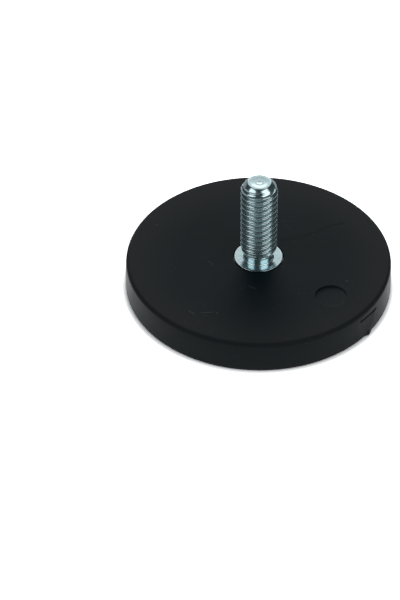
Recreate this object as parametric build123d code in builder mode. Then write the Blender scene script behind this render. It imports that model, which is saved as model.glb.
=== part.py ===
from build123d import *
import math
import os

# Rubber-coated pot magnet with an M6 threaded stud, in millimetres, +Z up.
#
# Flat neodymium discs of alternating pole hang under a steel back plate. A stud with a
# round collar is riveted through the middle of the plate. Rubber is then moulded round
# the lot, so that only the stud and the top of its collar stay bare.
#
# The origin is the centre of the magnetic face, on the stud's axis. +Z runs along the
# stud and +X through the moulding gate in the rim.

# ---------------------------------------------------------------- rubber jacket
jacket_diameter = 43.0  # across the magnetic face
side_wall = 2.5  # rubber outside the back plate, at the magnetic face
face_skin = 0.6  # rubber between the magnets and the magnetic face
wall_draft = 2.0  # degrees; the side wall leans in towards the top
top_edge_radius = 0.6
face_edge_chamfer = 0.5
collar_gap = 0.15  # the rubber shrinks back from the collar all round

# ---------------------------------------------------------------- magnets and back plate
magnet_thickness = 2.0
magnet_count = 6  # the poles alternate, so the number is even
magnet_inset = 0.5  # from the back plate's edge in to the magnets
magnet_spacing = 3.5  # rubber between two neighbouring magnets
plate_thickness = 2.0
plate_edge_chamfer = 0.3  # the blanked edge, rolled over on the top side

# ---------------------------------------------------------------- threaded stud
thread_major = 5.85  # M6; the crests of a 6g thread lie a little under 6 mm
stud_projection = 15.0  # from the collar's top face to the tip
neck_diameter = 4.75  # just under the root of the thread
neck_length = 2.1  # from the collar's top face to the first full thread
neck_bevel = 0.2  # where the neck meets the collar
thread_entry = 1.1  # height of the cone between the neck and the thread
tip_chamfer_width = 1.05
tip_chamfer_height = 1.0
tip_blend_radius = 1.5  # rounds the chamfer into the thread's crests
tip_rim = 0.5  # flat ring round the dished tip
dish_slope = 0.5  # radial width of the dish's wall
dish_depth = 0.06
dimple_diameter = 0.8
dimple_depth = 0.07
collar_diameter = 7.75
collar_height = 0.9
collar_proud = 0.1  # the collar's top face stands above the rubber
shank_diameter = 5.0  # fills its hole in the back plate
rivet_head_diameter = 7.0
rivet_head_height = 0.8
rivet_edge_chamfer = 0.4

# ---------------------------------------------------------------- moulding marks
ejector_diameter = 5.1
ejector_depth = 0.35
ejector_inset = 6.6  # from the rim to the mark's centre
ejector_angle = -4.1  # degrees round from the gate
gate_width = 4.6
gate_drop = 1.3  # from the top face down to the gate's ledge
gate_depth = 0.15  # flat under the ledge, running out towards the magnetic face
gate_foot = 0.6  # height at which the flat runs out
slit_depth = 0.45  # undercut below the ledge, deepest in the middle
slit_height = 0.3
slit_radius = 7.0  # the slit's floor is an arc, so that its ends run out in the wall
nib_reach = 0.3  # torn stub that stands proud of the rim
nib_height = 0.9
nib_taper = 18.0  # degrees
nib_short_side = 1.25  # from the stub's peak to where it meets the rim, clockwise
nib_long_side = 1.7  # the same, counter-clockwise

# ---------------------------------------------------------------- levels and radii
magnet_bottom = face_skin
plate_bottom = magnet_bottom + magnet_thickness
plate_top = plate_bottom + plate_thickness
collar_top = plate_top + collar_height
top_face = collar_top - collar_proud
face_radius = jacket_diameter / 2
plate_radius = face_radius - side_wall


def wall_radius(height):
    """The radius of the jacket's drafted side wall at a height above the magnetic face."""
    return face_radius - height * math.tan(math.radians(wall_draft))


# ---------------------------------------------------------------- steel back plate
with BuildPart() as steel_back_plate:
    with BuildSketch(Plane.XY.offset(plate_bottom)):
        Circle(plate_radius)
        Circle(shank_diameter / 2, mode=Mode.SUBTRACT)
    extrude(amount=plate_thickness)
    rim = steel_back_plate.faces().sort_by(Axis.Z)[-1].outer_wire().edges()
    chamfer(rim, length=plate_edge_chamfer)

# ---------------------------------------------------------------- magnets
# The magnets are as large as the ring under the plate allows, at their inset and spacing.
half_step = math.sin(math.pi / magnet_count)
ring_edge = plate_radius - magnet_inset
magnet_diameter = (2 * half_step * ring_edge - magnet_spacing) / (1 + half_step)
magnet_circle = ring_edge - magnet_diameter / 2

magnets = []
for seat in PolarLocations(magnet_circle, magnet_count):
    with BuildPart() as magnet:
        with BuildSketch(Plane.XY.offset(magnet_bottom)):
            with Locations(seat.position):
                Circle(magnet_diameter / 2)
        extrude(amount=magnet_thickness)
    magnets.append(magnet.part)

# ---------------------------------------------------------------- threaded stud
# One turned profile from the rivet head up to the dished tip. The shank between the
# entry cone and the rounded end has the thread's major diameter.
thread_start = collar_top + neck_length
tip = collar_top + stud_projection
tip_radius = thread_major / 2 - tip_chamfer_width
dish_radius = tip_radius - tip_rim
dish_floor = tip - dish_depth
chamfer_foot = tip - tip_chamfer_height
same_height = 1e-6


def rings_at(turned, height):
    """The round edges of a turned part at one height, the smallest first."""
    rings = turned.edges().filter_by(GeomType.CIRCLE)
    level = rings.filter_by(lambda edge: abs(edge.center().Z - height) < same_height)
    return level.sort_by(SortBy.RADIUS)


with BuildPart() as threaded_stud:
    with BuildSketch(Plane.XZ):
        with BuildLine():
            Polyline(
                (0, plate_bottom - rivet_head_height),
                (rivet_head_diameter / 2, plate_bottom - rivet_head_height),
                (rivet_head_diameter / 2, plate_bottom),
                (shank_diameter / 2, plate_bottom),
                (shank_diameter / 2, plate_top),
                (collar_diameter / 2, plate_top),
                (collar_diameter / 2, collar_top),
                (neck_diameter / 2, collar_top),
                (neck_diameter / 2, thread_start - thread_entry),
                (thread_major / 2, thread_start),
                (thread_major / 2, chamfer_foot),
                (tip_radius, tip),
                (dish_radius, tip),
                (dish_radius - dish_slope, dish_floor),
                (dimple_diameter / 2, dish_floor),
                (0, dish_floor - dimple_depth),
                close=True,
            )
        make_face()
    revolve(axis=Axis.Z)
    chamfer(rings_at(threaded_stud, collar_top)[0], length=neck_bevel)
    fillet(rings_at(threaded_stud, chamfer_foot), radius=tip_blend_radius)
    rivet_edge = threaded_stud.edges().group_by(Axis.Z)[0]
    chamfer(rivet_edge, length=rivet_edge_chamfer)

# ---------------------------------------------------------------- rubber jacket
with BuildPart() as rubber_jacket:
    with BuildSketch(Plane.XZ):
        with BuildLine():
            Polyline(
                (0, 0),
                (face_radius, 0),
                (wall_radius(top_face), top_face),
                (0, top_face),
                close=True,
            )
        make_face()
    revolve(axis=Axis.Z)
    fillet(rubber_jacket.edges().group_by(Axis.Z)[-1], radius=top_edge_radius)
    chamfer(rubber_jacket.edges().group_by(Axis.Z)[0], length=face_edge_chamfer)

    # gate: a flat that is deepest under its ledge and runs out towards the magnetic face
    ledge = top_face - gate_drop
    with BuildSketch(Plane.XZ):
        with BuildLine():
            Polyline(
                (wall_radius(ledge) - gate_depth, ledge),
                (face_radius + nib_reach, ledge),
                (face_radius + nib_reach, gate_foot),
                (wall_radius(gate_foot), gate_foot),
                close=True,
            )
        make_face()
    extrude(amount=gate_width / 2, both=True, mode=Mode.SUBTRACT)

    # narrow slit that the gate's insert leaves along the underside of the ledge
    with BuildSketch(Plane.XY.offset(ledge)):
        with Locations((wall_radius(ledge) - slit_depth + slit_radius, 0)):
            Circle(slit_radius)
    extrude(amount=-slit_height, mode=Mode.SUBTRACT)

    # torn stub of the gate, standing proud of the rim at the magnetic face
    with BuildSketch(Plane.XY):
        with BuildLine():
            Polyline(
                (face_radius - side_wall / 2, -nib_short_side),
                (face_radius - gate_depth, -nib_short_side),
                (face_radius + nib_reach, 0),
                (face_radius - gate_depth, nib_long_side),
                (face_radius - side_wall / 2, nib_long_side),
                close=True,
            )
        make_face()
    extrude(amount=nib_height, taper=nib_taper)

    # round mark of the ejector pin
    with BuildSketch(Plane.XY.offset(top_face)):
        with PolarLocations(face_radius - ejector_inset, 1, start_angle=ejector_angle):
            Circle(ejector_diameter / 2)
    extrude(amount=-ejector_depth, mode=Mode.SUBTRACT)

    # the collar stands in a well that is a little wider than it is
    with BuildSketch(Plane.XY.offset(plate_top)):
        Circle(collar_diameter / 2 + collar_gap)
    extrude(amount=top_face - plate_top, mode=Mode.SUBTRACT)

    # the rubber takes the form of all that it is moulded round
    add(steel_back_plate.part, mode=Mode.SUBTRACT)
    add(magnets, mode=Mode.SUBTRACT)
    add(threaded_stud.part, mode=Mode.SUBTRACT)

# ---------------------------------------------------------------- STEP files
pieces = {
    "rubber_jacket": rubber_jacket.part,
    "steel_back_plate": steel_back_plate.part,
    "threaded_stud": threaded_stud.part,
}
for number, magnet_part in enumerate(magnets, start=1):
    pieces[f"magnet_{number}"] = magnet_part

os.makedirs("parts", exist_ok=True)
for name, piece in pieces.items():
    piece.label = name
    export_step(piece, f"parts/{name}.step")
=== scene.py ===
import math

import bmesh
import bpy
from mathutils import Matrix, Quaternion, Vector, geometry, noise


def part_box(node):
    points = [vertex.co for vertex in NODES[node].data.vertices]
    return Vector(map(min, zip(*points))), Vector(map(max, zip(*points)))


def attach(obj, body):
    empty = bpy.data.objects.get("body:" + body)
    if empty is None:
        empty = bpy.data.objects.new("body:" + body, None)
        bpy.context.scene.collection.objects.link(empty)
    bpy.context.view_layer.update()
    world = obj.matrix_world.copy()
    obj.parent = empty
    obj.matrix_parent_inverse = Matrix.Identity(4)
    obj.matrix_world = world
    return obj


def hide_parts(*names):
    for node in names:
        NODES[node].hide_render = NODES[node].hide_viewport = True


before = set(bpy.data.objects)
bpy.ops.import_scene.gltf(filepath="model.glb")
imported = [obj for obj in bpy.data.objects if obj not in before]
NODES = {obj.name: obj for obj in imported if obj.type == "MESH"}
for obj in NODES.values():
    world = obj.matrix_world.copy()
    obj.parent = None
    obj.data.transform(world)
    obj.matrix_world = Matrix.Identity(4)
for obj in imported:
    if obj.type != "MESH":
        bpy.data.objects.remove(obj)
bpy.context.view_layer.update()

# A rubber-coated pot magnet with an M6 stud. Lengths are in millimetres, and MM turns them
# into Blender's metres where a mesh, a camera or a light is made. The origin is the centre of
# the magnetic face, +Z runs along the stud and +X through the moulding gate.
MM = 0.001
MAGNETS = [f"magnet_{number}" for number in range(1, 7)]


def in_mm(corner):
    """A point of the frame in millimetres."""
    return corner / MM


# ---------------------------------------------------------------- sizes from the frame
jacket_low, jacket_high = [in_mm(corner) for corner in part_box("rubber_jacket")]
stud_low, stud_high = [in_mm(corner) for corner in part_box("threaded_stud")]
plate_low, plate_high = [in_mm(corner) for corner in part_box("steel_back_plate")]
TOP_FACE = jacket_high.z
FACET_LOSS = 0.014  # the box ends at a facet's edge, just inside the round
FACE_RADIUS = -jacket_low.x + FACET_LOSS
TIP = stud_high.z
COLLAR_RADIUS = stud_high.x
COLLAR_PROUD = 0.1
COLLAR_TOP = TOP_FACE + COLLAR_PROUD
PLATE_RADIUS = plate_high.x
PLATE_BOTTOM = plate_low.z
PLATE_TOP = plate_high.z
PLATE_EDGE = 0.3  # the blanked edge on its top side

# ---------------------------------------------------------------- camera
CAMERA_AT = Vector((155.27, -220.10, 228.05))
CAMERA_AIM = Vector((-4.92, -9.16, 0.0))
CAMERA_ROLL = -0.5  # degrees about the view axis
LENS = 130.3
SENSOR = 36.0  # its long side


def make_camera():
    data = bpy.data.cameras.new("camera")
    data.lens = LENS
    data.sensor_width = SENSOR
    data.clip_start = 0.01
    data.clip_end = 10.0
    camera = bpy.data.objects.new("camera", data)
    camera.location = CAMERA_AT * MM
    level = (CAMERA_AIM - CAMERA_AT).to_track_quat("-Z", "Y")
    roll = Quaternion((0, 0, 1), math.radians(CAMERA_ROLL))
    camera.rotation_euler = (level @ roll).to_euler()
    bpy.context.collection.objects.link(camera)
    bpy.context.scene.camera = camera


# ---------------------------------------------------------------- node helpers
def new_material(name):
    material = bpy.data.materials.new(name)
    material.use_nodes = True
    return material, material.node_tree, material.node_tree.nodes["Principled BSDF"]


def link(tree, source, target):
    tree.links.new(source, target)


def noise_texture(tree, position, scale, detail, roughness):
    node = tree.nodes.new("ShaderNodeTexNoise")
    node.inputs["Scale"].default_value = scale
    node.inputs["Detail"].default_value = detail
    node.inputs["Roughness"].default_value = roughness
    link(tree, position, node.inputs["Vector"])
    return node.outputs["Fac"]


def remap(tree, value, low, high, to_low, to_high):
    node = tree.nodes.new("ShaderNodeMapRange")
    node.inputs["From Min"].default_value = low
    node.inputs["From Max"].default_value = high
    node.inputs["To Min"].default_value = to_low
    node.inputs["To Max"].default_value = to_high
    link(tree, value, node.inputs["Value"])
    return node.outputs["Result"]


def smooth(result):
    """The same ramp, easing in and out of its ends."""
    result.node.interpolation_type = "SMOOTHSTEP"
    return result


def mix_colour(tree, factor, first, second):
    node = tree.nodes.new("ShaderNodeMix")
    node.data_type = "RGBA"
    link(tree, factor, node.inputs["Factor"])
    for socket, colour in ((node.inputs["A"], first), (node.inputs["B"], second)):
        if isinstance(colour, tuple):
            socket.default_value = (*colour, 1.0)
        else:
            link(tree, colour, socket)
    return node.outputs["Result"]


def bump(tree, height, strength, distance):
    node = tree.nodes.new("ShaderNodeBump")
    node.inputs["Strength"].default_value = strength
    node.inputs["Distance"].default_value = distance * MM
    link(tree, height, node.inputs["Height"])
    return node.outputs["Normal"]


def math_node(tree, operation, first, second):
    node = tree.nodes.new("ShaderNodeMath")
    node.operation = operation
    link(tree, first, node.inputs[0])
    link(tree, second, node.inputs[1])
    return node.outputs["Value"]


def vector_node(tree, operation, *values, scale=None):
    """A vector operation on sockets, or on vectors and a number that stay the same."""
    node = tree.nodes.new("ShaderNodeVectorMath")
    node.operation = operation
    given = list(zip(node.inputs, values))
    if scale is not None:
        given.append((node.inputs["Scale"], scale))
    for socket, value in given:
        if isinstance(value, (Vector, float)):
            socket.default_value = value
        else:
            link(tree, value, socket)
    return node


def object_position(tree):
    """The point on the piece in millimetres."""
    coordinates = tree.nodes.new("ShaderNodeTexCoord")
    scaled = vector_node(tree, "SCALE", coordinates.outputs["Object"], scale=1.0 / MM)
    return scaled.outputs["Vector"]


def from_axis(tree, position):
    """The distance from the stud's axis in millimetres."""
    flat = vector_node(tree, "MULTIPLY", position, Vector((1, 1, 0)))
    return vector_node(tree, "LENGTH", flat.outputs["Vector"]).outputs["Value"]


def above_floor(tree, position):
    """The height above the magnetic face in millimetres."""
    parts = tree.nodes.new("ShaderNodeSeparateXYZ")
    link(tree, position, parts.inputs[0])
    return parts.outputs["Z"]


# ---------------------------------------------------------------- stage and light
AROUND_CAMERA = math.atan2(CAMERA_AT.y, CAMERA_AT.x)  # the camera's direction in plan
FLOOR_HALF = 0.8  # metres from the magnet's axis to each side of the paper
PAPER = (0.8, 0.8, 0.8)  # as it lights the magnet
MIRRORED_PAINTED_POOL = (2.8, 2.8, 2.8)  # painted pool of light: the paper is brighter where rubber and metal mirror it at the magnet's foot
MIRRORED_FAR = (0.8, 0.8, 0.8)
MIRRORED_RAMP = (28, 40)  # distances from the axis between the two
PAPER_PAINTED_SHADOW = (2.2, 2.2, 2.2)  # painted contact shadow: darker paper as the camera sees it right beside the magnet
PAPER_FAR = (4.2, 4.2, 4.2)  # and where the picture is burnt out
PAINTED_SHADOW_RAMP = (FACE_RADIUS + 0.05, FACE_RADIUS + 0.75)
ROOM_LIGHT = (0.042, 0.055, 0.060)
BACKDROP = (1.0, 1.0, 1.0)  # as the camera sees the world
LAMP_DISTANCE = 1000
LAMPS = [  # name, turn and elevation in degrees, width, height, radiance
    ("left_key", -60, 39, 680, 560, 1.7),
    ("left_side", -103, 4, 600, 160, 0.7),
    ("left_rim", -132, 8, 520, 280, 0.3),
    ("left_overhead", -95, 64.5, 360, 340, 0.6),
    ("right_key", 49, 40, 800, 560, 1.85),
    ("right_side", 103, 4, 600, 160, 1.2),
    ("right_overhead", 95, 66, 360, 420, 0.6),
    ("back_panel", 180, 19.3, 900, 580, 2.0),  # what the collar and the stud's end mirror
    ("back_overhead", 180, 55, 760, 700, 0.66),
]


def direction(turn, elevation):
    """A unit vector, turned anticlockwise in plan from the camera's side, in degrees."""
    angle = AROUND_CAMERA + math.radians(turn)
    rise = math.radians(elevation)
    return Vector((
        math.cos(angle) * math.cos(rise),
        math.sin(angle) * math.cos(rise),
        math.sin(rise),
    ))


def softbox(name, turn, elevation, width, height, radiance):
    """A rectangular lamp that faces the magnet. Radiance is what a mirror would see in it."""
    data = bpy.data.lights.new(name, "AREA")
    data.shape = "RECTANGLE"
    data.size = width * MM
    data.size_y = height * MM
    data.energy = radiance * math.pi * width * height * MM * MM
    lamp = bpy.data.objects.new(name, data)
    lamp.location = direction(turn, elevation) * LAMP_DISTANCE * MM
    lamp.rotation_euler = (-direction(turn, elevation)).to_track_quat("-Z", "Y").to_euler()
    lamp.visible_camera = False
    bpy.context.collection.objects.link(lamp)


def make_floor():
    """White paper. The camera sees it brighter than it lights the magnet, so that it burns out
    everywhere but in the contact shadow, and in a ring at the magnet's foot where the paper the
    camera sees is painted darker, a painted contact shadow. Rubber and metal mirror it with a
    painted pool of light near the magnet."""
    mesh = bpy.data.meshes.new("floor")
    corners = [(-1, -1), (1, -1), (1, 1), (-1, 1)]
    mesh.from_pydata([(x * FLOOR_HALF, y * FLOOR_HALF, 0) for x, y in corners], [], [(0, 1, 2, 3)])
    floor = bpy.data.objects.new("floor", mesh)
    bpy.context.collection.objects.link(floor)
    material = bpy.data.materials.new("white_paper")
    material.use_nodes = True
    tree = material.node_tree
    tree.nodes.clear()
    path = tree.nodes.new("ShaderNodeLightPath")
    diffuse = tree.nodes.new("ShaderNodeBsdfDiffuse")
    away = from_axis(tree, object_position(tree))
    # painted pool of light: the paper that rubber and metal mirror is brighter near the magnet
    painted_pool = mix_colour(tree, remap(tree, away, *MIRRORED_RAMP, 0, 1), MIRRORED_PAINTED_POOL, MIRRORED_FAR)
    mirrored = mix_colour(tree, path.outputs["Is Glossy Ray"], PAPER, painted_pool)
    # painted contact shadow: the paper the camera sees is darker in a ring at the magnet's foot
    painted_shadow_fade = smooth(remap(tree, away, *PAINTED_SHADOW_RAMP, 0, 1))
    paper = mix_colour(tree, painted_shadow_fade, PAPER_PAINTED_SHADOW, PAPER_FAR)
    seen = mix_colour(tree, path.outputs["Is Camera Ray"], mirrored, paper)
    link(tree, seen, diffuse.inputs["Color"])
    output = tree.nodes.new("ShaderNodeOutputMaterial")
    link(tree, diffuse.outputs[0], output.inputs["Surface"])
    mesh.materials.append(material)


def make_world():
    world = bpy.data.worlds.new("studio")
    bpy.context.scene.world = world
    world.use_nodes = True
    tree = world.node_tree
    tree.nodes.clear()
    path = tree.nodes.new("ShaderNodeLightPath")
    seen = mix_colour(tree, path.outputs["Is Camera Ray"], ROOM_LIGHT, BACKDROP)
    background = tree.nodes.new("ShaderNodeBackground")
    link(tree, seen, background.inputs["Color"])
    output = tree.nodes.new("ShaderNodeOutputWorld")
    link(tree, background.outputs[0], output.inputs["Surface"])


# ---------------------------------------------------------------- meshes
SEGMENTS = 180  # columns of faces round the stud
MARK_SEGMENTS = 120  # the same round the ejector mark and the magnets' pockets
SUPPORT = 0.03  # from a corner of a profile to the extra point that guards its straight run


def even_angles(count):
    return [2 * math.pi * column / count for column in range(count)]


def arc(centre, radius, start, end, steps):
    """Points (radius, height) on an arc from one angle to another, in degrees."""
    points = []
    for step in range(steps + 1):
        angle = math.radians(start + (end - start) * step / steps)
        points.append((centre[0] + radius * math.cos(angle), centre[1] + radius * math.sin(angle)))
    return points


def supported(points):
    """The profile with a point close to both ends of each long straight run, so that the
    smooth shading of a corner stays off the straight run beside it."""
    kept = [points[0]]
    for start, end in zip(points, points[1:]):
        length = math.dist(start, end)
        if length > 4 * SUPPORT:
            for share in (SUPPORT / length, 1 - SUPPORT / length):
                kept.append(tuple(a + (b - a) * share for a, b in zip(start, end)))
        kept.append(end)
    return kept


class Shell:
    """Collects the vertices and faces of a closed mesh that is made ring by ring."""

    def __init__(self):
        self.vertices = []
        self.faces = []

    def vertex(self, x, y, z):
        self.vertices.append((x * MM, y * MM, z * MM))
        return len(self.vertices) - 1

    def ring(self, radius, height, angles, centre=(0, 0)):
        """Vertices round a circle. A ring of no radius is one vertex, named many times."""
        if radius < 1e-6:
            return [self.vertex(*centre, height)] * len(angles)
        return [
            self.vertex(
                centre[0] + radius * math.cos(angle), centre[1] + radius * math.sin(angle), height
            )
            for angle in angles
        ]

    def face(self, corners):
        kept = []
        for corner in corners:
            if corner not in kept:
                kept.append(corner)
        if len(kept) > 2:
            self.faces.append(kept)

    def bridge(self, first, second):
        for column in range(len(first)):
            after = (column + 1) % len(first)
            self.face((first[column], first[after], second[after], second[column]))

    def lathe(self, rings):
        for first, second in zip(rings, rings[1:]):
            self.bridge(first, second)

    def region(self, outline, holes=()):
        """The flat area inside a ring and outside its holes."""
        loops = [outline, *holes]
        corners = [corner for loop in loops for corner in loop]
        flat = [Vector(self.vertices[corner][:2]) / MM for corner in corners]
        areas = []
        start = 0
        for loop in loops:
            areas.append(list(range(start, start + len(loop))))
            start += len(loop)
        triangles, origins, inside = [
            geometry.delaunay_2d_cdt(flat, [], areas, 1, 1e-6)[part] for part in (2, 3, 5)
        ]
        for triangle, within in zip(triangles, inside):
            if within == [0]:
                self.face([corners[origins[corner][0]] for corner in triangle])

    def object(self, name, sharp_angle):
        mesh = bpy.data.meshes.new(name)
        mesh.from_pydata(self.vertices, [], self.faces)
        mesh.validate()
        work = bmesh.new()
        work.from_mesh(mesh)
        bmesh.ops.recalc_face_normals(work, faces=work.faces)
        work.to_mesh(mesh)
        work.free()
        mesh.polygons.foreach_set("use_smooth", [True] * len(mesh.polygons))
        mesh.set_sharp_from_angle(angle=math.radians(sharp_angle))
        piece = bpy.data.objects.new(name, mesh)
        bpy.context.collection.objects.link(piece)
        return piece


# ---------------------------------------------------------------- stud
RIVET_RADIUS = 3.5
RIVET_EDGE = 0.4
SHANK_RADIUS = 2.5
COLLAR_EDGE = 0.06
PITCH = 1.0
MAJOR_RADIUS = 2.925
ROOT_DEPTH = 0.54  # from crest to root
NECK_RADIUS = 2.375
NECK_BEVEL = 0.14  # where the neck meets the collar
NECK_LENGTH = 2.1  # up to the first full thread
THREAD_ENTRY = 1.1  # height of the cone between the neck and the thread
THREAD_RUN_OUT = 0.3  # from the cone's foot down to the thread mesh's first ring
THREAD_BOTTOM = COLLAR_TOP + NECK_LENGTH - THREAD_ENTRY - THREAD_RUN_OUT
THREAD_TOP = TIP - 0.4  # where the grooves have run out in the rounded end
WELD = 0.004  # what comes this close to an end of the thread closes up into it
THREAD_PHASE = 0.12  # height of a groove's middle on the +X side
TIP_RADIUS = 1.875
END_HEIGHT = 1.55  # of the rounded end, from where it leaves the crests up to the tip
END_CURVE = 1.8  # a cone would have 1, and more stays closer to the crests
TIP_RIM = 0.5  # flat ring round the dish
DISH_SLOPE = 0.5  # radial width of the dish's wall
DISH_DEPTH = 0.045
DIMPLE_RADIUS = 0.4
DIMPLE_DEPTH = 0.06


def thread_tooth():
    """One pitch of the thread from groove to groove: (height, depth below the crest)."""
    crest_flat = PITCH / 8
    root_flat = PITCH / 4
    flank = (PITCH - crest_flat - root_flat) / 2
    shape = [
        (-PITCH / 2, 1.0),
        (-PITCH / 2 + root_flat * 0.30, 0.985),
        (-PITCH / 2 + root_flat * 0.50, 0.93),
        (-PITCH / 2 + root_flat * 0.5 + flank * 0.15, 0.82),
        (-PITCH / 2 + root_flat * 0.5 + flank * 0.50, 0.47),
        (-PITCH / 2 + root_flat * 0.5 + flank * 0.85, 0.12),
        (-crest_flat * 0.55, 0.03),
        (-crest_flat * 0.25, 0.0),
    ]
    tooth = [(height, depth * ROOT_DEPTH) for height, depth in shape]
    tooth += [(-height, depth) for height, depth in reversed(tooth[1:])]
    return tooth


def stud_envelope(height):
    """The radius of the turned blank at a height of the threaded part."""
    thread_start = COLLAR_TOP + NECK_LENGTH
    below = MAJOR_RADIUS - (thread_start - height) * (MAJOR_RADIUS - NECK_RADIUS) / THREAD_ENTRY
    into_end = max(0.0, 1 - (TIP - height) / END_HEIGHT)
    above = MAJOR_RADIUS - (MAJOR_RADIUS - TIP_RADIUS) * into_end ** END_CURVE
    return min(MAJOR_RADIUS, max(below, NECK_RADIUS), above)


def stud_profile_below():
    """(radius, height) from the axis under the rivet head up to the neck's top."""
    rivet_centre = (RIVET_RADIUS - RIVET_EDGE, stud_low.z + RIVET_EDGE)
    collar_centre = (COLLAR_RADIUS - COLLAR_EDGE, COLLAR_TOP - COLLAR_EDGE)
    points = [(0.0, stud_low.z)]
    points += arc(rivet_centre, RIVET_EDGE, -90, 0, 6)
    points += [(RIVET_RADIUS, PLATE_BOTTOM), (SHANK_RADIUS, PLATE_BOTTOM)]
    points += [(SHANK_RADIUS, PLATE_TOP), (COLLAR_RADIUS, PLATE_TOP)]
    points += arc(collar_centre, COLLAR_EDGE, 0, 90, 4)
    points += [
        (NECK_RADIUS + NECK_BEVEL + 0.03, COLLAR_TOP),
        (NECK_RADIUS + NECK_BEVEL - 0.03, COLLAR_TOP + 0.02),
        (NECK_RADIUS + 0.02, COLLAR_TOP + NECK_BEVEL - 0.03),
        (NECK_RADIUS, COLLAR_TOP + NECK_BEVEL + 0.04),
        (NECK_RADIUS, THREAD_BOTTOM),
    ]
    return points


def stud_profile_above():
    """(radius, height) from the end of the thread, up over the tip, to the axis."""
    dish_radius = TIP_RADIUS - TIP_RIM
    floor = TIP - DISH_DEPTH
    return [
        (stud_envelope(TIP - 0.2), TIP - 0.2),
        (stud_envelope(TIP - 0.1), TIP - 0.1),
        (TIP_RADIUS + 0.03, TIP - 0.04),
        (TIP_RADIUS - 0.02, TIP - 0.008),
        (TIP_RADIUS - 0.08, TIP),
        (dish_radius + 0.08, TIP),
        (dish_radius - 0.04, TIP - 0.01),
        (dish_radius - DISH_SLOPE + 0.05, floor + 0.01),
        (dish_radius - DISH_SLOPE - 0.06, floor),
        (DIMPLE_RADIUS + 0.05, floor),
        (DIMPLE_RADIUS - 0.03, floor - 0.2 * DIMPLE_DEPTH),
        (DIMPLE_RADIUS * 0.7, floor - 0.6 * DIMPLE_DEPTH),
        (DIMPLE_RADIUS * 0.4, floor - 0.9 * DIMPLE_DEPTH),
        (0.0, floor - DIMPLE_DEPTH),
    ]


def add_thread(shell, bottom_ring, top_ring):
    """The helical surface between two rings. Its rows follow the helix, so that every edge
    of the thread is an edge of the mesh. Rows that run past an end close up into its ring."""
    lowest = THREAD_BOTTOM + WELD
    highest = THREAD_TOP - WELD
    tooth = thread_tooth()[:-1]
    rows_each = len(tooth)
    first_turn = math.floor((THREAD_BOTTOM - THREAD_PHASE) / PITCH) - 2
    last_turn = math.ceil((THREAD_TOP - THREAD_PHASE) / PITCH) + 2
    rows = (last_turn - first_turn) * rows_each
    grid = [[None] * SEGMENTS for _ in range(rows)]
    for row in range(rows):
        turn, part = divmod(row, rows_each)
        height_in_tooth, depth = tooth[part]
        for column in range(SEGMENTS):
            share = column / SEGMENTS
            base = THREAD_PHASE + PITCH / 2 + (first_turn + turn) * PITCH
            height = base + height_in_tooth + share * PITCH
            if height <= lowest:
                grid[row][column] = bottom_ring[column]
            elif height >= highest:
                grid[row][column] = top_ring[column]
            else:
                radius = min(MAJOR_RADIUS - depth, stud_envelope(height))
                angle = 2 * math.pi * share
                grid[row][column] = shell.vertex(
                    radius * math.cos(angle), radius * math.sin(angle), height
                )
    for row in range(rows - rows_each - 1):
        for column in range(SEGMENTS):
            if column + 1 < SEGMENTS:
                right_low, right_high = grid[row][column + 1], grid[row + 1][column + 1]
            else:  # one turn on, the helix has climbed by one pitch
                right_low, right_high = grid[row + rows_each][0], grid[row + rows_each + 1][0]
            shell.face((grid[row][column], right_low, right_high, grid[row + 1][column]))


def make_stud():
    shell = Shell()
    angles = even_angles(SEGMENTS)
    lower = [shell.ring(*point, angles) for point in supported(stud_profile_below())]
    profile = [(stud_envelope(THREAD_TOP), THREAD_TOP), *stud_profile_above()]
    upper = [shell.ring(*point, angles) for point in supported(profile)]
    shell.lathe(lower)
    add_thread(shell, lower[-1], upper[0])
    shell.lathe(upper)
    stud = shell.object("stud_with_thread", 40)
    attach(stud, "root")
    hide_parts("threaded_stud")
    return stud


# ---------------------------------------------------------------- rubber jacket
WALL_DRAFT = 2.0  # degrees
TOP_EDGE = 0.6
FOOT_EDGE = 0.5
WELL_RADIUS = COLLAR_RADIUS + 0.15  # the rubber shrinks back from the collar
WELL_LIP = 0.1
GUARD = 0.05  # a narrow flat strip that keeps the shading of an edge off the flat beside it

EJECTOR_RADIUS = 2.45
EJECTOR_DEPTH = 0.18
EJECTOR_LIP = 0.1
EJECTOR_CORNER = 0.08  # between its wall and its floor
EJECTOR_AT = (14.86, -1.07)  # its centre on the top face
EJECTOR_TILT = 0.5  # share of the depth that the floor gains at its inner edge and loses outside

LEDGE = TOP_FACE - 1.3  # the top of the gate
GATE_HALF_WIDTH = 2.35
GATE_FOOT = 0.6
GATE_DEPTH = 0.15
GATE_SKEW = 1.5  # degrees that the gate's flat is turned about the vertical
SLIT_DEPTH = 0.55
SLIT_HEIGHT = 0.48
SLIT_RADIUS = 7.0
NIB_REACH = 0.34
NIB_LIFT = 0.26  # how far up its underside is bevelled
NIB_HEIGHT = 1.0
NIB_TAPER = 18.0  # degrees
NIB_PEAK = -0.08  # across the gate
NIB_SHORT_SIDE = 0.9  # from the peak to where it meets the rim, clockwise
NIB_LONG_SIDE = 1.2  # the same, anticlockwise
NIB_CRUMBLE = 0.02
TEAR_DEPTH = 0.025  # beside the nib, where the gate was torn off
GRAIN_DEPTH = 0.004  # over the rest of the gate's flat
GATE_SECTOR = 9.0  # degrees on either side of the gate with close columns
CLOSE_STEP = 0.15  # degrees from column to column
WIDE_STEP = 1.5
WALL_ROWS = 44


def wall_radius(height):
    return FACE_RADIUS - height * math.tan(math.radians(WALL_DRAFT))


def rim_angles():
    """Columns round the rim, close together at the gate."""
    angles = []
    turn = -180.0
    while turn < 180.0 - 1e-6:
        angles.append(math.radians(turn))
        at_gate = -GATE_SECTOR - 1e-6 < turn < GATE_SECTOR - 1e-6
        turn += CLOSE_STEP if at_gate else WIDE_STEP
    return angles


def fade(value, start, end):
    """Nought at the start, one at the end, smooth between them."""
    share = min(max((value - start) / (end - start), 0.0), 1.0)
    return share * share * (3 - 2 * share)


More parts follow.
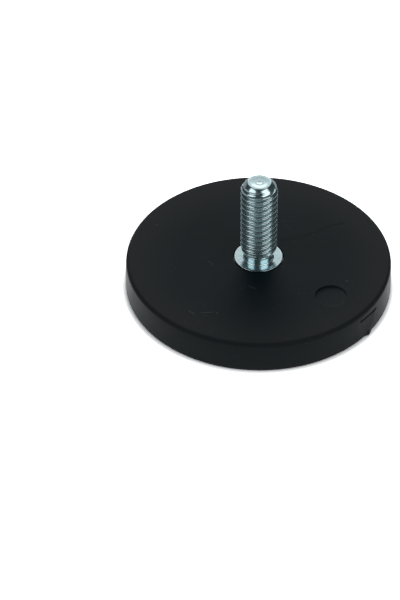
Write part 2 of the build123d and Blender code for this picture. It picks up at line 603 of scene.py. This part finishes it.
def gate_radius(plain, angle, height):
    """The radius of the rim at the gate, where it is cut back, slit and torn."""
    if abs(math.degrees(angle)) > GATE_SECTOR:
        return plain
    radius = plain
    across = plain * math.sin(angle)
    if abs(across) < GATE_HALF_WIDTH and GATE_FOOT < height < LEDGE:
        share = (LEDGE - height) / (LEDGE - GATE_FOOT)
        flat = (wall_radius(LEDGE) - GATE_DEPTH) * (1 - share) + wall_radius(GATE_FOOT) * share
        flat += across * math.tan(math.radians(GATE_SKEW))
        radius = min(radius, flat / math.cos(angle))
    if LEDGE - SLIT_HEIGHT < height < LEDGE:
        centre = wall_radius(LEDGE) - SLIT_DEPTH + SLIT_RADIUS
        reach = SLIT_RADIUS ** 2 - (centre * math.sin(angle)) ** 2
        if reach > 0:
            radius = min(radius, centre * math.cos(angle) - math.sqrt(reach))
    elif height < LEDGE:
        cut = fade(abs(across), GATE_HALF_WIDTH, GATE_HALF_WIDTH - 0.5)
        cut *= fade(height, GATE_FOOT - 0.3, GATE_FOOT + 0.3) * fade(height, LEDGE - 0.35, LEDGE - 0.7)
        torn = fade(across, 0.4, -0.6) * fade(height, 3.2, 2.2)
        spot = Vector((across * 1.7, 3.1, height * 2.4))
        radius += (GRAIN_DEPTH + TEAR_DEPTH * torn) * cut * noise.fractal(spot, 0.6, 2.0, 4)
    if height < NIB_HEIGHT:
        side = NIB_LONG_SIDE if across > NIB_PEAK else NIB_SHORT_SIDE
        share = 1 - abs(across - NIB_PEAK) / side
        if share > 0:
            spot = Vector((across * 3, 7.7, height * 4))
            crumble = NIB_CRUMBLE * noise.fractal(spot, 0.7, 2.0, 3)
            nib = FACE_RADIUS + NIB_REACH * share + crumble
            nib -= height * math.tan(math.radians(NIB_TAPER))
            radius = max(radius, nib - max(0.0, NIB_LIFT - height))
    return radius


def rim_profile():
    """(radius, height) of the plain rim from the top face down to the magnetic face."""
    top_centre = TOP_FACE - TOP_EDGE
    lean = math.cos(math.radians(WALL_DRAFT))
    centre = (wall_radius(top_centre) - TOP_EDGE / lean, top_centre)
    points = arc(centre, TOP_EDGE, 90, WALL_DRAFT, 10)
    points.insert(0, (points[0][0] - GUARD, TOP_FACE))
    heights = [LEDGE + 0.2, LEDGE + 0.01, LEDGE - 0.01, LEDGE - 0.08]
    heights += [LEDGE - SLIT_HEIGHT + 0.08, LEDGE - SLIT_HEIGHT + 0.01, LEDGE - SLIT_HEIGHT - 0.01]
    lowest = FOOT_EDGE + 0.05
    highest = LEDGE - SLIT_HEIGHT - 0.07
    heights += [highest + (lowest - highest) * row / WALL_ROWS for row in range(WALL_ROWS + 1)]
    points += [(wall_radius(height), height) for height in heights]
    foot_centre = wall_radius(FOOT_EDGE) - FOOT_EDGE / lean
    points += arc((foot_centre, FOOT_EDGE), FOOT_EDGE, WALL_DRAFT, -90, 8)
    return points


def ejector_profile():
    """(radius, height) of the ejector mark from its lip to its floor."""
    floor = TOP_FACE - EJECTOR_DEPTH
    points = [(EJECTOR_RADIUS + EJECTOR_LIP + GUARD, TOP_FACE)]
    points += arc((EJECTOR_RADIUS + EJECTOR_LIP, TOP_FACE - EJECTOR_LIP), EJECTOR_LIP, 90, 180, 6)
    centre = (EJECTOR_RADIUS - EJECTOR_CORNER, floor + EJECTOR_CORNER)
    points += arc(centre, EJECTOR_CORNER, 0, -90, 4)
    points += [(EJECTOR_RADIUS - EJECTOR_CORNER - GUARD, floor)]
    return points


def ejector_ring(shell, radius, height, angles):
    """A ring of the ejector mark, whose floor slopes down towards the stud."""
    corners = []
    for angle in angles:
        lean = 1 - EJECTOR_TILT * math.cos(angle) * radius / EJECTOR_RADIUS
        x = EJECTOR_AT[0] + radius * math.cos(angle)
        y = EJECTOR_AT[1] + radius * math.sin(angle)
        corners.append(shell.vertex(x, y, TOP_FACE - (TOP_FACE - height) * lean))
    return corners


def rim_ring(shell, plain, height, angles):
    """A ring of the rim, with the gate cut into it."""
    corners = []
    for angle in angles:
        radius = gate_radius(plain, angle, height)
        corners.append(shell.vertex(radius * math.cos(angle), radius * math.sin(angle), height))
    return corners


def make_jacket():
    """The rubber, with its well for the collar and its pockets for the plate, the rivet head
    and the magnets."""
    shell = Shell()
    columns = rim_angles()
    rim = [rim_ring(shell, *point, columns) for point in rim_profile()]
    shell.lathe(rim)
    foot = shell.ring(rim_profile()[-1][0] - GUARD, 0, columns)
    shell.bridge(rim[-1], foot)
    shell.region(foot)

    round_mark = even_angles(MARK_SEGMENTS)
    mark = [ejector_ring(shell, *point, round_mark) for point in ejector_profile()]
    shell.lathe(mark)
    shell.region(mark[-1])

    angles = even_angles(SEGMENTS)
    lip = WELL_RADIUS + WELL_LIP
    well_profile = [(lip + GUARD, TOP_FACE)]
    well_profile += arc((lip, TOP_FACE - WELL_LIP), WELL_LIP, 90, 180, 4)
    well_profile += [
        (WELL_RADIUS, PLATE_TOP),
        (PLATE_RADIUS - PLATE_EDGE, PLATE_TOP),
        (PLATE_RADIUS, PLATE_TOP - PLATE_EDGE),
        (PLATE_RADIUS, PLATE_BOTTOM),
    ]
    well = [shell.ring(*point, angles) for point in well_profile]
    shell.lathe(well)
    shell.region(rim[0], [well[0], mark[0]])

    rivet_profile = [
        (RIVET_RADIUS, PLATE_BOTTOM),
        (RIVET_RADIUS, stud_low.z + RIVET_EDGE),
        (RIVET_RADIUS - RIVET_EDGE, stud_low.z),
    ]
    rivet = [shell.ring(*point, angles) for point in rivet_profile]
    shell.lathe(rivet)
    shell.region(rivet[-1])
    pockets = [rivet[0]]
    for magnet in MAGNETS:
        low, high = [in_mm(corner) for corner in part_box(magnet)]
        middle = ((low + high) / 2).xy
        radius = (high.x - low.x) / 2
        pocket = [shell.ring(radius, height, round_mark, middle) for height in (PLATE_BOTTOM, low.z)]
        shell.lathe(pocket)
        shell.region(pocket[-1])
        pockets.append(pocket[0])
    shell.region(well[-1], pockets)

    jacket = shell.object("moulded_jacket", 35)
    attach(jacket, "root")
    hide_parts("rubber_jacket")
    return jacket


# ---------------------------------------------------------------- materials
ZINC_DULL = (0.46, 0.60, 0.63)
ZINC_BRIGHT = (0.53, 0.66, 0.68)
STEEL_DULL = (0.36, 0.36, 0.37)
STEEL_BRIGHT = (0.46, 0.46, 0.47)
NICKEL_DULL = (0.62, 0.60, 0.56)
NICKEL_BRIGHT = (0.70, 0.68, 0.64)
RUBBER_DEEP = (0.0026, 0.0080, 0.0106)
RUBBER_PALE = (0.0038, 0.0094, 0.0124)
RUBBER_SHEEN = 0.088
RIM_SHEEN_COLOUR = (0.0140, 0.0172, 0.0196)  # painted sheen, lighter towards the rim
RIM_SHEEN_START = 11.0  # from the axis
FLOOR_REFLECTION_COLOUR = (0.0190, 0.0232, 0.0254)  # painted reflection of the white floor, lighter down the side wall
FLOOR_REFLECTION_RAMP = (4.2, 0.2)  # heights at which it starts and is full
DARK_LINE_COLOUR = (0.0, 0.0062, 0.0074)
# Dark marks: start, end, width. The first four draw a dark line on the top face that runs
# outwards from beside the stud, and the last is a streak on the side wall.
DARK_LINES = [
    ((0.88, 5.88, 5.4), (2.53, 8.06, 5.4), 0.82),
    ((2.53, 8.06, 5.4), (3.75, 10.57, 5.4), 0.74),
    ((3.75, 10.57, 5.4), (4.84, 13.31, 5.4), 0.62),
    ((4.84, 13.31, 5.4), (5.98, 15.12, 5.4), 0.44),
    ((-12.39, -17.45, 2.71), (-10.74, -18.51, 2.77), 0.16),
]
DUST_SCALE = 0.9  # cells per millimetre
DUST_SIZE = (0.06, 0.16)  # of a speck, from its full core to its edge, as a share of a cell
DUST_STRENGTH = 0.3
SCUFF_COLOUR = (0.060, 0.066, 0.070)
SCUFFS = [  # pale specks and scratches on the top face: start, end, width
    ((-18.2, -3.35, 5.4), (-18.1, -3.31, 5.4), 0.16),
    ((-5.55, -5.80, 5.4), (-5.47, -5.76, 5.4), 0.16),
    ((-4.93, -5.96, 5.4), (-4.85, -5.92, 5.4), 0.14),
    ((3.07, -6.89, 5.4), (4.36, -6.72, 5.4), 0.09),
    ((-0.93, -17.28, 5.4), (0.25, -17.29, 5.4), 0.09),
    ((2.75, -15.03, 5.4), (3.05, -15.04, 5.4), 0.12),
    ((14.79, 3.42, 5.4), (14.87, 3.46, 5.4), 0.18),
    ((0.86, -16.54, 5.4), (2.23, -15.24, 5.4), 0.08),
]


def zinc_material():
    material, tree, shader = new_material("blue_white_zinc")
    position = object_position(tree)
    cloud = noise_texture(tree, position, 0.9, 5.0, 0.6)
    fine = noise_texture(tree, position, 9.0, 3.0, 0.5)
    colour = mix_colour(tree, remap(tree, cloud, 0.35, 0.65, 0, 1), ZINC_DULL, ZINC_BRIGHT)
    link(tree, colour, shader.inputs["Base Color"])
    shader.inputs["Metallic"].default_value = 1.0
    link(tree, remap(tree, fine, 0.3, 0.7, 0.16, 0.22), shader.inputs["Roughness"])
    link(tree, bump(tree, fine, 0.04, 0.02), shader.inputs["Normal"])
    return material


def stroke(tree, position, start, end, width):
    """One along a straight mark on the surface, fading to nought at its sides."""
    along = Vector(end) - Vector(start)
    offset = vector_node(tree, "SUBTRACT", position, Vector(start)).outputs["Vector"]
    reach = vector_node(tree, "DOT_PRODUCT", offset, along).outputs["Value"]
    share = remap(tree, reach, 0.0, along.length_squared, 0.0, 1.0)
    nearest = vector_node(tree, "SCALE", along, scale=share).outputs["Vector"]
    gap = vector_node(tree, "DISTANCE", offset, nearest).outputs["Value"]
    return remap(tree, gap, 0.0, width, 1.0, 0.0)


def strongest(tree, masks):
    """The highest of several masks at each point."""
    best = masks[0]
    for mask in masks[1:]:
        best = math_node(tree, "MAXIMUM", best, mask)
    return best


def dust(tree, position):
    """Small pale specks, in patches."""
    cells = tree.nodes.new("ShaderNodeTexVoronoi")
    cells.inputs["Scale"].default_value = DUST_SCALE
    link(tree, position, cells.inputs["Vector"])
    patches = noise_texture(tree, position, 0.16, 3.0, 0.6)
    specks = remap(tree, cells.outputs["Distance"], *DUST_SIZE, 1, 0)
    lying = remap(tree, patches, 0.48, 0.62, 0, DUST_STRENGTH)
    return math_node(tree, "MULTIPLY", specks, lying)


def rubber_material():
    material, tree, shader = new_material("black_rubber")
    position = object_position(tree)
    cloud = noise_texture(tree, position, 0.12, 5.0, 0.6)
    grain = noise_texture(tree, position, 6.0, 3.0, 0.6)
    colour = mix_colour(tree, remap(tree, cloud, 0.3, 0.7, 0, 1), RUBBER_DEEP, RUBBER_PALE)
    # painted sheen: the rubber's colour is lighter towards the rim
    rim_sheen = smooth(remap(tree, from_axis(tree, position), RIM_SHEEN_START, FACE_RADIUS, 0, 1))
    colour = mix_colour(tree, rim_sheen, colour, RIM_SHEEN_COLOUR)
    # painted reflection: the side wall is lighter towards its foot, where it mirrors the lit floor
    floor_reflection = remap(tree, above_floor(tree, position), *FLOOR_REFLECTION_RAMP, 0, 1)
    colour = mix_colour(tree, floor_reflection, colour, FLOOR_REFLECTION_COLOUR)
    dark = [stroke(tree, position, *mark) for mark in DARK_LINES]
    colour = mix_colour(tree, strongest(tree, dark), colour, DARK_LINE_COLOUR)
    scuffs = [stroke(tree, position, *mark) for mark in SCUFFS]
    scuffs.append(dust(tree, position))
    colour = mix_colour(tree, strongest(tree, scuffs), colour, SCUFF_COLOUR)
    link(tree, colour, shader.inputs["Base Color"])
    slant = tree.nodes.new("ShaderNodeLayerWeight")  # rubber shines more at a glancing view
    matt = remap(tree, slant.outputs["Facing"], 0.4, 0.85, 0.56, 0.33)
    link(tree, matt, shader.inputs["Roughness"])
    shader.inputs["Specular IOR Level"].default_value = RUBBER_SHEEN
    link(tree, bump(tree, grain, 0.15, 0.02), shader.inputs["Normal"])
    return material


def plate_material():
    material, tree, shader = new_material("blanked_steel")
    position = object_position(tree)
    mill = noise_texture(tree, position, 1.2, 5.0, 0.6)
    colour = mix_colour(tree, remap(tree, mill, 0.3, 0.7, 0, 1), STEEL_DULL, STEEL_BRIGHT)
    link(tree, colour, shader.inputs["Base Color"])
    shader.inputs["Metallic"].default_value = 1.0
    link(tree, remap(tree, mill, 0.3, 0.7, 0.35, 0.5), shader.inputs["Roughness"])
    return material


def magnet_material():
    material, tree, shader = new_material("nickel_plating")
    position = object_position(tree)
    cloud = noise_texture(tree, position, 1.5, 4.0, 0.5)
    colour = mix_colour(tree, remap(tree, cloud, 0.3, 0.7, 0, 1), NICKEL_DULL, NICKEL_BRIGHT)
    link(tree, colour, shader.inputs["Base Color"])
    shader.inputs["Metallic"].default_value = 1.0
    link(tree, remap(tree, cloud, 0.3, 0.7, 0.16, 0.26), shader.inputs["Roughness"])
    return material


def dress(node, material):
    for slot in node.material_slots:
        slot.material = material


# ---------------------------------------------------------------- scene
bpy.context.scene.view_settings.view_transform = "Standard"
make_camera()
make_floor()
make_world()
for lamp in LAMPS:
    softbox(*lamp)

make_stud().data.materials.append(zinc_material())
make_jacket().data.materials.append(rubber_material())
dress(NODES["steel_back_plate"], plate_material())
nickel = magnet_material()
for magnet in MAGNETS:
    dress(NODES[magnet], nickel)
